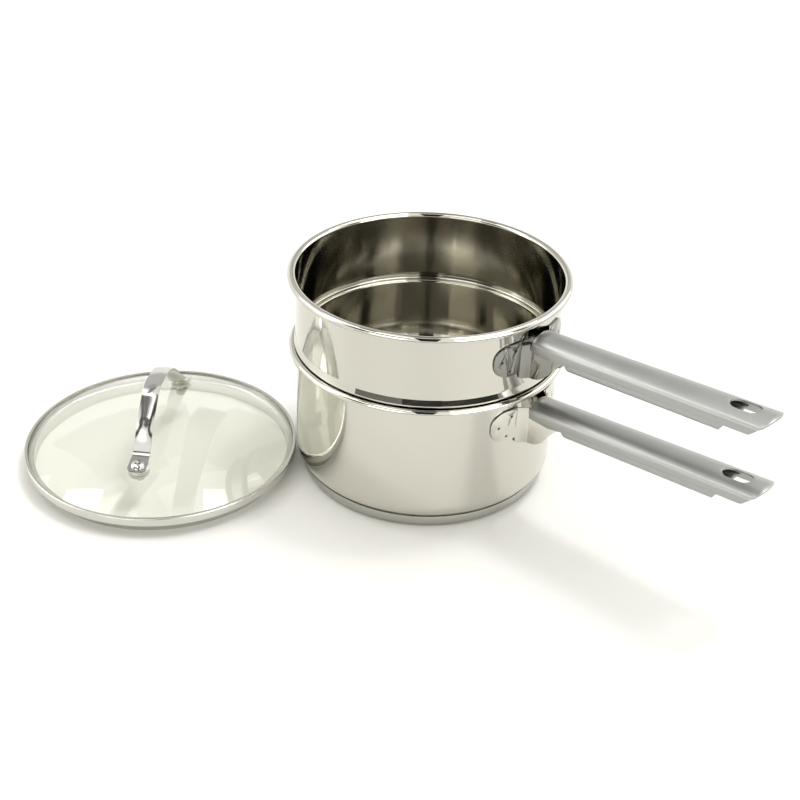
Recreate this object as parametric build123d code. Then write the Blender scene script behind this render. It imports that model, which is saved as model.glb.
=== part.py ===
from build123d import *
from math import asin, cos, degrees, radians, sin, sqrt
import os

# Double boiler: a saucepan, a stepped insert that sits in it, and a glass lid lying beside them.
# Millimetres, +Z up. The origin is the centre of the saucepan's foot, on the table. Both handles
# reach out between +X and -Y, and the lid lies on the -X side.

# Shared by every cut that has to run past the piece it cuts
OVERRUN = 6.0
SHEET = 0.8

# Capsule base of the saucepan: a steel cap that stands in from the wall, pressed over an aluminium disc
CAP_INSET = 4.3
CAP_SHEET = 0.6
CAP_CORNER = 4.5
CAP_HEIGHT = 8.6
CORE_INSET = 5.0
CORE_THICKNESS = 5.0

# Saucepan wall, its lip rolled outwards over the top and down
PAN_RADIUS = 88.9
PAN_CORNER = 14.0
PAN_LIP_TOP = 95.6
PAN_LIP_REACH = 5.4
PAN_LIP_ROLL = 2.6

# Insert: an upper band over the saucepan's lip and a narrower bowl that sinks into the saucepan
SEAT_GAP = 0.3
BAND_STEP = 0.1
BAND_HEIGHT = 52.0
BOWL_DEPTH = 58.0
INSERT_LIP_REACH = 5.8
INSERT_LIP_ROLL = 2.8
BOWL_GAP = 2.3
BOWL_CORNER = 30.0
LEDGE_ROUND = 2.2
BEAD_OUT = 1.4
BEAD_ROUND = 0.8
BEAD_HEIGHT = 5.2
BEAD_BLEND = 6.0

# Handles: a long trough of sheet, open below, with a narrower tray that closes it from below
HANDLE_TILT_DEGREES = 3.6
HANDLE_SHEET = 1.2
HANDLE_LENGTH = 163.0
HANDLE_ROOT_HALF = 11.2
HANDLE_TIP_HALF = 13.2
HANDLE_CROWN = 9.8
HANDLE_SHOULDER = 4.4
HANDLE_SHOULDER_ROUND = 3.8
TIP_SLANT = 11.0
TIP_ROUND = 4.0
ROOT_DROP = 2.1
ROOT_DROP_PLACE = 16.0
ROOT_DROP_END = 34.0
ROOT_DROP_ROUND = 3.0
ROOT_DROP_BLEND = 30.0
ROOT_GAP = 1.0
SLOT_LENGTH = 19.0
SLOT_WIDTH = 10.6
SLOT_TO_TIP = 11.3
TRAY_SHEET = 1.0
TRAY_GAP = 0.1
TRAY_START = 22.0
TRAY_LENGTH = 116.0
TRAY_DEPTH = 6.0
TRAY_RISE = 2.6
TRAY_ROUND = 2.8
TRAY_SLANT = 6.0

# Where each handle starts: its turn about Z, how far it stands off the wall, how far below the lip
SAUCEPAN_TURN_DEGREES = -40.0
SAUCEPAN_STAND_OFF = 5.4
SAUCEPAN_HANDLE_DROP = 16.5
INSERT_TURN_DEGREES = -41.0
INSERT_STAND_OFF = 3.8
INSERT_HANDLE_DROP = 20.1

# Brackets: a strip with two wings spot welded to the wall and a nose that enters the handle
BRACKET_SHEET = 1.2
BRACKET_GAP = 0.05
WING_REACH = 34.5
WING_START = 15.0
WING_ABOVE = 6.8
WING_BELOW = 15.4
WING_ROUND = 10.6
NOSE_CLEARANCE = 0.15
NOSE_REACH = 16.0
NOSE_ABOVE = 2.8
NOSE_EDGE = 2.0
NOSE_BELOW = 19.5
NOSE_ROUND = 5.0
NOSE_BEND = 1.0
WELD_RADIUS = 1.3
WELD_DEPTH = 0.4
WELD_SHARES = ((0.84, -0.28), (0.66, -0.78), (0.56, 0.1))

# Lid: domed glass whose edge is held in a folded steel rim with a skirt. It lies on the table against the
# saucepan
LID_Y = -11.2
RIM_SHEET = 0.6
RIM_REACH = 5.1
RIM_TOP = 13.8
RIM_FOLD = 0.8
RIM_LAP = 1.6
SHELF_GAP = 0.3
SKIRT_GAP = 1.1
GLASS_SPHERE = 198.0
GLASS_THICKNESS = 4.0
GLASS_GAP = 0.15
GLASS_HOLE = 3.0

# Strap handle of the lid, on two screws square to the glass
STRAP_TURN_DEGREES = 84.7
STRAP_FOOT_PLACE = 56.2
STRAP_SHEET = 1.2
STRAP_WIDTH = 11.4
STRAP_FOOT_WIDTH = 13.2
STRAP_FOOT_INNER = 9.5
STRAP_FOOT_OUTER = 6.5
STRAP_FOOT_ROUND = 3.0
STRAP_FOOT_BEND = 7.0
STRAP_RISE = 28.2
STRAP_TOP_HALF = 14.2
STRAP_ARCH_BEND = 32.0
STRAP_CROWN = 2.1
STRAP_NECK = 5.5
STRAP_NECK_BLEND = 9.0
STRAP_HOLE = 2.4
SCREW_SHANK = 2.0
SCREW_HEAD = 4.2
SCREW_HEAD_RISE = 1.9
SCREW_HEAD_EDGE = 0.7
WASHER_RADIUS = 7.0
WASHER_THICKNESS = 0.8
WASHER_HOLE = 2.3
GASKET_RADIUS = 7.3
GASKET_THICKNESS = 0.8
LOWER_WASHER_RADIUS = 6.2
LOWER_WASHER_THICKNESS = 1.0
NUT_ACROSS = 8.0
NUT_HEIGHT = 3.5
NUT_DOME = 3.0
NUT_BORE = 2.05

QUARTER_TURN = 90.0

# Worked out from the sizes above
CAP_RADIUS = PAN_RADIUS - CAP_INSET
CORE_RADIUS = CAP_RADIUS - CORE_INSET
PAN_FLOOR = CAP_SHEET + CORE_THICKNESS
INSERT_RADIUS = PAN_RADIUS + BAND_STEP
INSERT_SEAT = PAN_LIP_TOP + SEAT_GAP
INSERT_LIP_TOP = INSERT_SEAT + BAND_HEIGHT
BOWL_RADIUS = PAN_RADIUS - SHEET - BOWL_GAP
SKIRT_RADIUS = INSERT_RADIUS - SHEET - SKIRT_GAP
RIM_RADIUS = INSERT_RADIUS + RIM_REACH
GLASS_RADIUS = RIM_RADIUS - RIM_SHEET - GLASS_GAP
LID_X = -PAN_RADIUS - RIM_RADIUS


def revolved_sheet(points, rounds, thickness, side):
    """A sheet of even thickness turned about Z, from the line of one of its faces in the XZ plane."""
    with BuildSketch(Plane.XZ) as profile:
        with BuildLine():
            FilletPolyline(*points, radius=rounds)
            offset(amount=thickness, side=side)
        make_face()
    return revolve(profile.sketch, axis=Axis.Z)


def ring(outer, inner, height, place=0.0):
    """A flat washer about Z with its lower face at the given height."""
    with BuildSketch(Plane.XY.offset(place)) as profile:
        Circle(outer)
        Circle(inner, mode=Mode.SUBTRACT)
    return extrude(profile.sketch, amount=height)


# Pans

def saucepan_shell():
    inside = PAN_RADIUS - SHEET
    floor = PAN_FLOOR + SHEET
    edge = inside + PAN_LIP_REACH
    points = [(0, floor), (inside, floor), (inside, PAN_LIP_TOP), (edge, PAN_LIP_TOP),
              (edge, PAN_LIP_TOP - PAN_LIP_ROLL - SHEET)]
    return revolved_sheet(points, [PAN_CORNER - SHEET, PAN_LIP_ROLL, PAN_LIP_ROLL], SHEET, Side.RIGHT)


def insert_shell():
    inside = INSERT_RADIUS - SHEET
    bowl = BOWL_RADIUS - SHEET
    floor = INSERT_SEAT - BOWL_DEPTH + SHEET
    ledge = INSERT_SEAT + SHEET
    edge = inside + INSERT_LIP_REACH
    points = [(0, floor), (bowl, floor), (bowl, ledge), (inside + BEAD_OUT, ledge),
              (inside, ledge + BEAD_HEIGHT), (inside, INSERT_LIP_TOP), (edge, INSERT_LIP_TOP),
              (edge, INSERT_LIP_TOP - INSERT_LIP_ROLL - SHEET)]
    rounds = [BOWL_CORNER, LEDGE_ROUND, BEAD_ROUND, BEAD_BLEND, INSERT_LIP_ROLL, INSERT_LIP_ROLL]
    return revolved_sheet(points, rounds, SHEET, Side.RIGHT)


def base_core():
    return Pos(0, 0, CAP_SHEET) * extrude(Circle(CORE_RADIUS), amount=CORE_THICKNESS)


def base_cap():
    points = [(0, 0), (CAP_RADIUS, 0), (CAP_RADIUS, CAP_HEIGHT)]
    return revolved_sheet(points, [CAP_CORNER], CAP_SHEET, Side.LEFT)


# Handles. Each is drawn along +X from its root, with its lower edges on Z = 0, and then placed.

def half_width(along):
    """Half the handle's outside width at a distance from its root."""
    return HANDLE_ROOT_HALF + (HANDLE_TIP_HALF - HANDLE_ROOT_HALF) * along / HANDLE_LENGTH


def trough_section(along, inset, depth):
    """The handle's domed outline at a distance from its root, drawn in by inset all round."""
    side = half_width(along) - inset
    shoulder = HANDLE_CROWN - HANDLE_SHOULDER - inset
    with BuildSketch(Plane.YZ.offset(along)) as section:
        with BuildLine():
            Polyline((-side, shoulder), (-side, -depth), (side, -depth), (side, shoulder))
            ThreePointArc((side, shoulder), (0, HANDLE_CROWN - inset), (-side, shoulder))
        make_face()
        top = section.vertices().filter_by_position(Axis.Z, shoulder - inset / 2, HANDLE_CROWN)
        fillet(top, radius=HANDLE_SHOULDER_ROUND - inset)
    return section.sketch


def handle_trim():
    """The handle as seen from its side: oblique tip, lower edges and the dropped corners at the root."""
    top = HANDLE_CROWN + OVERRUN
    slant = TIP_SLANT / HANDLE_CROWN
    with BuildSketch(Plane.XZ) as outline:
        with BuildLine():
            FilletPolyline((ROOT_GAP, top), (ROOT_GAP, 0), (ROOT_DROP_PLACE, -ROOT_DROP), (ROOT_DROP_END, 0),
                           (HANDLE_LENGTH - TIP_SLANT, 0), (HANDLE_LENGTH + OVERRUN * slant, top),
                           radius=[0, ROOT_DROP_ROUND, ROOT_DROP_BLEND, TIP_ROUND])
            Line((HANDLE_LENGTH + OVERRUN * slant, top), (ROOT_GAP, top))
        make_face()
    return extrude(outline.sketch, amount=HANDLE_TIP_HALF + OVERRUN, both=True)


def handle_shell():
    depth = ROOT_DROP + OVERRUN
    ends = (-OVERRUN, HANDLE_LENGTH + OVERRUN)
    outside = loft([trough_section(end, 0, depth) for end in ends])
    inside = loft([trough_section(end, HANDLE_SHEET, depth + OVERRUN) for end in ends])
    slot = SlotOverall(SLOT_LENGTH, SLOT_WIDTH)
    place = HANDLE_LENGTH - SLOT_TO_TIP - SLOT_LENGTH / 2
    hole = Pos(place, 0, 0) * extrude(slot, amount=HANDLE_CROWN + OVERRUN)
    return (outside & handle_trim()) - inside - hole


def tray_section(along, inset, top):
    """The tray's outline at a distance from the handle's root: a flat floor with rounded corners."""
    side = half_width(along) - HANDLE_SHEET - TRAY_GAP - inset
    floor = -TRAY_DEPTH + inset
    with BuildSketch(Plane.YZ.offset(along)) as section:
        with BuildLine():
            FilletPolyline((-side, top), (-side, floor), (side, floor), (side, top), radius=TRAY_ROUND - inset)
            Line((side, top), (-side, top))
        make_face()
    return section.sketch


def handle_tray():
    stop = TRAY_START + TRAY_LENGTH
    ends = (TRAY_START, stop)
    outside = loft([tray_section(end, 0, TRAY_RISE) for end in ends])
    past = (TRAY_START - OVERRUN, stop + OVERRUN)
    inside = loft([tray_section(end, TRAY_SHEET, TRAY_RISE + OVERRUN) for end in past])
    with BuildSketch(Plane.XZ) as outline:
        with BuildLine():
            FilletPolyline((TRAY_START, TRAY_RISE), (TRAY_START + TRAY_SLANT, -TRAY_DEPTH),
                           (stop - TRAY_SLANT, -TRAY_DEPTH), (stop, TRAY_RISE), radius=TRAY_ROUND)
            Line((stop, TRAY_RISE), (TRAY_START, TRAY_RISE))
        make_face()
    side = extrude(outline.sketch, amount=HANDLE_TIP_HALF + OVERRUN, both=True)
    return (outside - inside) & side


def on_handle(shape, wall, turn, stand_off, height):
    """Moves a piece drawn along +X from the handle's root to its place on a pan."""
    root = Pos(wall + stand_off, 0, height) * Rot(0, -HANDLE_TILT_DEGREES, 0)
    return Rot(0, 0, turn) * root * shape


def bracket(wall, turn, stand_off, height):
    """Strip bent to the wall at both ends, then out to the handle's root and across inside it."""
    outer = wall + BRACKET_GAP + BRACKET_SHEET
    nose_half = HANDLE_ROOT_HALF - HANDLE_SHEET - NOSE_CLEARANCE
    root = wall + stand_off
    front = root + NOSE_REACH
    wing_end = sqrt(outer ** 2 - WING_REACH ** 2)
    wing_middle = (WING_REACH + WING_START) / 2
    wing_start = sqrt(outer ** 2 - WING_START ** 2)
    with BuildSketch() as plan:
        with BuildLine() as strip:
            ThreePointArc((wing_end, -WING_REACH), (sqrt(outer ** 2 - wing_middle ** 2), -wing_middle),
                          (wing_start, -WING_START))
            FilletPolyline((wing_start, -WING_START), (root, -nose_half), (front, -nose_half),
                           (front, nose_half), (root, nose_half), (wing_start, WING_START),
                           radius=NOSE_BEND)
            ThreePointArc((wing_start, WING_START), (sqrt(outer ** 2 - wing_middle ** 2), wing_middle),
                          (wing_end, WING_REACH))
            offset(amount=BRACKET_SHEET, side=Side.LEFT)
        make_face()
    blank = extrude(Pos(0, 0, height - NOSE_BELOW) * plan.sketch, amount=NOSE_BELOW + WING_ABOVE)
    with BuildSketch(Plane.YZ) as front_view:
        with Locations((0, height + (WING_ABOVE - WING_BELOW) / 2)):
            RectangleRounded(2 * WING_REACH, WING_ABOVE + WING_BELOW, WING_ROUND)
        with Locations((0, height + (WING_ABOVE - NOSE_BELOW) / 2)):
            RectangleRounded(2 * WING_START, WING_ABOVE + NOSE_BELOW, NOSE_ROUND)
    ends = extrude(front_view.sketch, amount=front + OVERRUN)
    low = height - NOSE_BELOW
    corner = height - NOSE_EDGE
    with BuildSketch(Plane.XZ) as side_view:
        with BuildLine():
            Polyline((root, low), (0, low), (0, height + WING_ABOVE), (root, height + WING_ABOVE),
                     (root, height + NOSE_ABOVE), (front, height + NOSE_ABOVE), (front, corner))
            EllipticalCenterArc((root, corner), NOSE_REACH, NOSE_BELOW - NOSE_EDGE, start_angle=-QUARTER_TURN,
                                arc_size=QUARTER_TURN)
        make_face()
    nose = extrude(side_view.sketch, amount=WING_REACH + OVERRUN, both=True)
    stamped = blank & ends & nose
    for across_share, rise_share in WELD_SHARES:
        across = across_share * WING_REACH
        rise = rise_share * WING_BELOW
        for side in (-across, across):
            face = sqrt(outer ** 2 - across ** 2)
            spin = degrees(asin(side / outer))
            dimple = Cone(0, WELD_RADIUS, WELD_DEPTH, align=(Align.CENTER, Align.CENTER, Align.MAX))
            stamped -= Pos(face, side, height + rise) * Rot(0, 0, spin) * Rot(0, QUARTER_TURN, 0) * dimple
    return Rot(0, 0, turn) * stamped


# Lid. It is drawn about the Z axis with its skirt standing on Z = 0, and then placed.

def sphere_drop(radius):
    """How far the glass's upper face lies below its crown at a radius."""
    return GLASS_SPHERE - sqrt(GLASS_SPHERE ** 2 - radius ** 2)


CROWN = RIM_TOP - RIM_SHEET - GLASS_GAP + sphere_drop(GLASS_RADIUS - RIM_LAP)
STRAP_TOP = CROWN + STRAP_RISE
FOOT_TILT = degrees(asin(STRAP_FOOT_PLACE / GLASS_SPHERE))
GLASS_UNDER = GLASS_SPHERE - GLASS_THICKNESS
EDGE_TOP = CROWN - sphere_drop(GLASS_RADIUS)
EDGE_RADIUS = GLASS_RADIUS * GLASS_UNDER / GLASS_SPHERE
EDGE_LOW = CROWN - GLASS_SPHERE + sqrt(GLASS_UNDER ** 2 - EDGE_RADIUS ** 2)
SHELF = EDGE_LOW - SHELF_GAP - RIM_SHEET
GASKET_SAG = GLASS_UNDER - sqrt(GLASS_UNDER ** 2 - GASKET_RADIUS ** 2)
NUT_SEAT = GLASS_THICKNESS + GASKET_SAG + GASKET_THICKNESS + LOWER_WASHER_THICKNESS


def lid_glass():
    """The dome, its edge ground square to its faces."""
    with BuildSketch(Plane.XZ) as profile:
        with BuildLine():
            TangentArc((0, CROWN), (GLASS_RADIUS, EDGE_TOP), tangent=(1, 0))
            Line((GLASS_RADIUS, EDGE_TOP), (EDGE_RADIUS, EDGE_LOW))
            TangentArc((0, CROWN - GLASS_THICKNESS), (EDGE_RADIUS, EDGE_LOW), tangent=(1, 0))
            Line((0, CROWN - GLASS_THICKNESS), (0, CROWN))
        make_face()
    glass = revolve(profile.sketch, axis=Axis.Z)
    drill = extrude(Circle(GLASS_HOLE), amount=GLASS_THICKNESS + OVERRUN, both=True)
    for side in (-1, 1):
        glass -= on_foot(drill, side)
    return glass


def lid_rim():
    """The rim from its lap over the glass, round the glass's edge to the shelf under it, and down its skirt."""
    points = [(GLASS_RADIUS - RIM_LAP, RIM_TOP), (RIM_RADIUS, RIM_TOP), (RIM_RADIUS, SHELF), (SKIRT_RADIUS, SHELF),
              (SKIRT_RADIUS, 0)]
    with BuildSketch(Plane.XZ) as profile:
        with BuildLine():
            FilletPolyline(*points, radius=RIM_FOLD)
            offset(amount=RIM_SHEET, side=Side.RIGHT)
        make_face()
    return revolve(profile.sketch, axis=Axis.Z)


def on_foot(shape, side, along=0.0):
    """Moves a piece drawn about Z to one foot of the strap, square to the glass's upper face."""
    place = Pos(side * STRAP_FOOT_PLACE, 0, CROWN - sphere_drop(STRAP_FOOT_PLACE))
    return place * Rot(0, side * FOOT_TILT, 0) * Pos(0, 0, along) * shape


def strap_section(place, along):
    """The strap's plane square to its run, with its flat section and its crowned one."""
    half = STRAP_WIDTH / 2
    plane = Plane(origin=(place.X, 0, place.Y), x_dir=Vector(0, 1, 0), z_dir=(along.X, 0, along.Y))
    with BuildSketch(plane) as flat:
        Rectangle(STRAP_WIDTH, STRAP_SHEET, align=(Align.CENTER, Align.MIN))
    with BuildSketch(plane) as crowned:
        with BuildLine():
            ThreePointArc((-half, 0), (0, STRAP_CROWN), (half, 0))
            Line((half, 0), (half, STRAP_SHEET))
            ThreePointArc((half, STRAP_SHEET), (0, STRAP_SHEET + STRAP_CROWN), (-half, STRAP_SHEET))
            Line((-half, STRAP_SHEET), (-half, 0))
        make_face()
    return flat.sketch, crowned.sketch


def lid_strap():
    """Two flat feet and the arch between them, which rises to its crown a little above each foot's bend."""
    tilt = radians(FOOT_TILT)
    stack = GASKET_THICKNESS + WASHER_THICKNESS
    foot = Vector(STRAP_FOOT_PLACE + stack * sin(tilt), CROWN - sphere_drop(STRAP_FOOT_PLACE) + stack * cos(tilt))
    slope = Vector(cos(tilt), -sin(tilt))
    inner = foot - slope * STRAP_FOOT_INNER
    outer = foot + slope * STRAP_FOOT_OUTER
    shoulder = Vector(STRAP_TOP_HALF, STRAP_TOP - STRAP_SHEET)
    leg = (inner - shoulder).normalized()
    neck = inner - leg * STRAP_NECK
    start = neck - leg * STRAP_NECK_BLEND
    narrow = STRAP_WIDTH / 2
    wide = STRAP_FOOT_WIDTH / 2
    with BuildSketch(Plane.XZ) as foot_view:
        with BuildLine():
            FilletPolyline(neck, inner, outer, radius=STRAP_FOOT_BEND)
            offset(amount=STRAP_SHEET, side=Side.LEFT)
        make_face()
    with BuildSketch() as plan:
        with BuildLine():
            FilletPolyline((0, narrow), (inner.X, narrow), (outer.X, wide), (outer.X, -wide), (inner.X, -narrow),
                           (0, -narrow), radius=STRAP_FOOT_ROUND)
            Line((0, -narrow), (0, narrow))
        make_face()
    flat = extrude(foot_view.sketch, amount=wide, both=True) & extrude(plan.sketch, amount=STRAP_TOP)
    drill = extrude(Circle(STRAP_HOLE), amount=STRAP_SHEET + stack + OVERRUN)
    flat -= on_foot(drill, 1)
    blend = loft([strap_section(start, leg)[1], strap_section(neck, leg)[0]])
    side = flat + blend
    with BuildLine(Plane.XZ) as run:
        FilletPolyline((-start.X, start.Y), (-shoulder.X, shoulder.Y), (shoulder.X, shoulder.Y), (start.X, start.Y),
                       radius=STRAP_ARCH_BEND)
    arch = sweep(strap_section(start, leg)[1], path=run.wires()[0])
    return arch + side + mirror(side, about=Plane.YZ)


def strap_screw():
    """Dome headed screw with its head seated on the strap, drawn down to the nut."""
    seat = GASKET_THICKNESS + WASHER_THICKNESS + STRAP_SHEET
    reach = NUT_SEAT + NUT_HEIGHT
    with BuildSketch(Plane.XZ) as profile:
        with BuildLine():
            Polyline((0, -reach), (SCREW_SHANK, -reach), (SCREW_SHANK, seat), (SCREW_HEAD, seat),
                     (SCREW_HEAD, seat + SCREW_HEAD_EDGE))
            TangentArc((0, seat + SCREW_HEAD_RISE), (SCREW_HEAD, seat + SCREW_HEAD_EDGE), tangent=(1, 0))
            Line((0, seat + SCREW_HEAD_RISE), (0, -reach))
        make_face()
    return revolve(profile.sketch, axis=Axis.Z)


def cap_nut():
    """Hexagon nut with a domed cap, drawn about Z with its seat on Z = 0 and the dome below."""
    across = NUT_ACROSS / 2
    nut = extrude(RegularPolygon(across, 6, major_radius=False), amount=-NUT_HEIGHT - NUT_DOME)
    with BuildSketch(Plane.XZ) as profile:
        with BuildLine():
            Polyline((0, 0), (NUT_ACROSS, 0), (NUT_ACROSS, -NUT_HEIGHT), (across, -NUT_HEIGHT))
            TangentArc((0, -NUT_HEIGHT - NUT_DOME), (across, -NUT_HEIGHT), tangent=(1, 0))
            Line((0, -NUT_HEIGHT - NUT_DOME), (0, 0))
        make_face()
    nut &= revolve(profile.sketch, axis=Axis.Z)
    return nut - extrude(Circle(NUT_BORE), amount=-NUT_HEIGHT)


def on_lid(shape):
    return Pos(LID_X, LID_Y, 0) * Rot(0, 0, STRAP_TURN_DEGREES) * shape


def build():
    """Every piece of the double boiler by its node's name."""
    pieces = {
        "saucepan_shell": saucepan_shell(),
        "base_core": base_core(),
        "base_cap": base_cap(),
        "insert_shell": insert_shell(),
        "lid_glass": on_lid(lid_glass()),
        "lid_rim": on_lid(lid_rim()),
        "lid_strap": on_lid(lid_strap()),
    }
    saucepan = (PAN_RADIUS, SAUCEPAN_TURN_DEGREES, SAUCEPAN_STAND_OFF, PAN_LIP_TOP - SAUCEPAN_HANDLE_DROP)
    insert = (INSERT_RADIUS, INSERT_TURN_DEGREES, INSERT_STAND_OFF, INSERT_LIP_TOP - INSERT_HANDLE_DROP)
    for pan, start in (("saucepan", saucepan), ("insert", insert)):
        pieces[pan + "_bracket"] = bracket(*start)
        pieces[pan + "_handle"] = on_handle(handle_shell(), *start)
        pieces[pan + "_handle_tray"] = on_handle(handle_tray(), *start)
    for name, side in (("near", -1), ("far", 1)):
        stack = (("strap_screw", strap_screw(), 0),
                 ("strap_washer", ring(WASHER_RADIUS, WASHER_HOLE, WASHER_THICKNESS), GASKET_THICKNESS),
                 ("upper_gasket", ring(GASKET_RADIUS, WASHER_HOLE, GASKET_THICKNESS), 0),
                 ("lower_gasket", ring(GASKET_RADIUS, WASHER_HOLE, GASKET_THICKNESS),
                  LOWER_WASHER_THICKNESS - NUT_SEAT),
                 ("lower_washer", ring(LOWER_WASHER_RADIUS, WASHER_HOLE, LOWER_WASHER_THICKNESS), -NUT_SEAT),
                 ("cap_nut", cap_nut(), -NUT_SEAT))
        for piece, shape, along in stack:
            pieces[f"{piece}_{name}"] = on_lid(on_foot(shape, side, along))
    return pieces


os.makedirs("parts", exist_ok=True)
for node, shape in build().items():
    export_step(shape, f"parts/{node}.step")
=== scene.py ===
"""Looks of a double boiler: a saucepan, the stepped insert seated in it, and a glass lid beside them."""

import logging
import math
from collections.abc import Sequence
from dataclasses import dataclass, field
from enum import Enum

import bmesh
import bpy
from bmesh.types import BMEdge, BMesh, BMVert
from bpy.types import Material, Node, Object
from mathutils import Matrix, Vector


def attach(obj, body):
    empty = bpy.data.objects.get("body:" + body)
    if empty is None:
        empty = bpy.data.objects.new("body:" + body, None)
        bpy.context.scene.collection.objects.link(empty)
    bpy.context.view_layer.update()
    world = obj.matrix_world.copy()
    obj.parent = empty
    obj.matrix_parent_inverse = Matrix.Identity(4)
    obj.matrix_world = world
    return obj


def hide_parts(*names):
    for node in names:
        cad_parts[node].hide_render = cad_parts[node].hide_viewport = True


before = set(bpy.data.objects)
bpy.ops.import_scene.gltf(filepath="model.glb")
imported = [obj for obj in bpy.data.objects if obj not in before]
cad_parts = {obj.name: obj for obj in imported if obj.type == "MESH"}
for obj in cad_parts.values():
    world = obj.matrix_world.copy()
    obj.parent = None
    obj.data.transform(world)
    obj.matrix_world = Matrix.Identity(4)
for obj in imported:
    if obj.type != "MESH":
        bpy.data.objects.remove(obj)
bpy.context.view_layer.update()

LOG = logging.getLogger("double_boiler")

MM = 0.001
MERGE = 1e-6
TIGHT = 0.999
ARC_STEP = math.radians(7.5)
ROUND_STEPS = 192
SMALL_ROUND_STEPS = 48
SHARP_ANGLE = math.radians(38)
EDGE_ANGLE = math.radians(50)
OVERRUN = 6 * MM
DOWN = Vector((0, 0, -1))

Flat = tuple[float, float]
Point = tuple[float, float, float]
Colour = tuple[float, float, float]
Link = tuple[Node, str | int]


class Grain(Enum):
    """The way the polishing lines run on a steel piece."""

    TURNED = "turned"
    ALONG = "along"
    NONE = "none"


class Carving(Enum):
    """What is left of a mesh after another has shaped it."""

    AWAY = "DIFFERENCE"
    SHARED = "INTERSECT"
    JOINED = "UNION"


# Mesh tools

def round_corner(mesh: BMesh, corner: BMVert, radius: float) -> None:
    """Replaces one corner of a chain of edges by an arc.

    Args:
        mesh: The chain of edges.
        corner: A vertex between two of its edges.
        radius: The arc's radius.
    """
    here = corner.co.copy()
    arms = [(edge.other_vert(corner).co - here).normalized() for edge in corner.link_edges]
    turn = math.pi - arms[0].angle(arms[1])
    room = TIGHT * min(edge.calc_length() for edge in corner.link_edges)
    bmesh.ops.bevel(mesh, geom=[corner], offset=min(room, radius * math.tan(turn / 2)), offset_type="OFFSET",
                    segments=max(2, math.ceil(turn / ARC_STEP)), profile=0.5, affect="VERTICES", material=-1)


def wire(points: Sequence[Point], rounds: Sequence[float], closed: bool = False) -> BMesh:
    """Draws a chain of edges with rounded corners.

    Args:
        points: The chain's corners in order.
        rounds: A radius for each inner corner, or for each corner of a closed chain.
        closed: Whether the last point joins the first.

    Returns:
        A mesh that holds the chain.
    """
    mesh = bmesh.new()
    corners = [mesh.verts.new(point) for point in points]
    pairs = list(zip(corners, corners[1:]))
    if closed:
        pairs.append((corners[-1], corners[0]))
    for pair in pairs:
        mesh.edges.new(pair)
    for corner, radius in zip(corners if closed else corners[1:-1], rounds):
        if radius > 0:
            round_corner(mesh, corner, radius)
    bmesh.ops.remove_doubles(mesh, verts=mesh.verts[:], dist=MERGE)
    return mesh


def profile(points: Sequence[Flat], rounds: Sequence[float]) -> BMesh:
    """Draws a chain of edges in the XZ plane, ready to be spun about Z."""
    return wire([(x, 0, z) for x, z in points], rounds)


def spin_round(mesh: BMesh, steps: int = ROUND_STEPS) -> BMesh:
    """Turns a chain of edges about Z into a closed band or bowl.

    Args:
        mesh: The chain, in the XZ plane.
        steps: How many faces go round.

    Returns:
        The same mesh.
    """
    bmesh.ops.spin(mesh, geom=mesh.verts[:] + mesh.edges[:], cent=(0, 0, 0), axis=(0, 0, 1), dvec=(0, 0, 0),
                   angle=math.tau, steps=steps, use_merge=True, use_duplicate=False)
    bmesh.ops.remove_doubles(mesh, verts=mesh.verts[:], dist=MERGE)
    bmesh.ops.recalc_face_normals(mesh, faces=mesh.faces[:])
    return mesh


def thicken(mesh: BMesh, thickness: float, at: Point, toward: Point) -> BMesh:
    """Gives a sheet an even wall that grows to one side of it.

    Args:
        mesh: The sheet.
        thickness: The wall.
        at: A place near one of its faces.
        toward: The side to which the wall grows there.

    Returns:
        The same mesh, closed.
    """
    bmesh.ops.recalc_face_normals(mesh, faces=mesh.faces[:])
    place = Vector(at)
    nearest = min(mesh.faces, key=lambda face: (face.calc_center_median() - place).length)
    if nearest.normal.dot(Vector(toward)) > 0:
        bmesh.ops.reverse_faces(mesh, faces=mesh.faces[:])
    bmesh.ops.solidify(mesh, geom=mesh.faces[:], thickness=thickness)
    bmesh.ops.recalc_face_normals(mesh, faces=mesh.faces[:])
    return mesh


def soften(mesh: BMesh, width: float, segments: int = 2) -> BMesh:
    """Rounds every sharp edge of a closed mesh by a small width.

    Args:
        mesh: The mesh.
        width: The width of the rounding.
        segments: How many faces make it.

    Returns:
        The same mesh.
    """
    edges = [edge for edge in mesh.edges if edge.calc_face_angle(0.0) > EDGE_ANGLE]
    bmesh.ops.bevel(mesh, geom=edges, offset=width, offset_type="OFFSET", segments=segments, profile=0.5,
                    affect="EDGES", clamp_overlap=True, material=-1)
    return mesh


def extrude_on(mesh: BMesh, edges: list[BMEdge]) -> tuple[list, list]:
    """Extrudes a chain of edges in place.

    Args:
        mesh: The mesh that holds them.
        edges: The open end to extrude.

    Returns:
        The new chain's edges and its vertices.
    """
    made = bmesh.ops.extrude_edge_only(mesh, edges=edges)["geom"]
    verts = [item for item in made if isinstance(item, BMVert)]
    fresh = set(verts)
    chain = [item for item in made if isinstance(item, BMEdge) and fresh.issuperset(item.verts)]
    return chain, verts


def prism(points: Sequence[Point], rounds: Sequence[float], reach: Point) -> BMesh:
    """Makes a solid from a rounded outline.

    Args:
        points: The outline's corners.
        rounds: A radius for each corner.
        reach: How far the outline is extruded.

    Returns:
        A closed mesh.
    """
    mesh = wire(points, rounds, closed=True)
    base = bmesh.ops.contextual_create(mesh, geom=mesh.edges[:])["faces"]
    made = bmesh.ops.extrude_face_region(mesh, geom=base)["geom"]
    bmesh.ops.translate(mesh, verts=[item for item in made if isinstance(item, BMVert)], vec=reach)
    bmesh.ops.recalc_face_normals(mesh, faces=mesh.faces[:])
    return mesh


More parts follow.
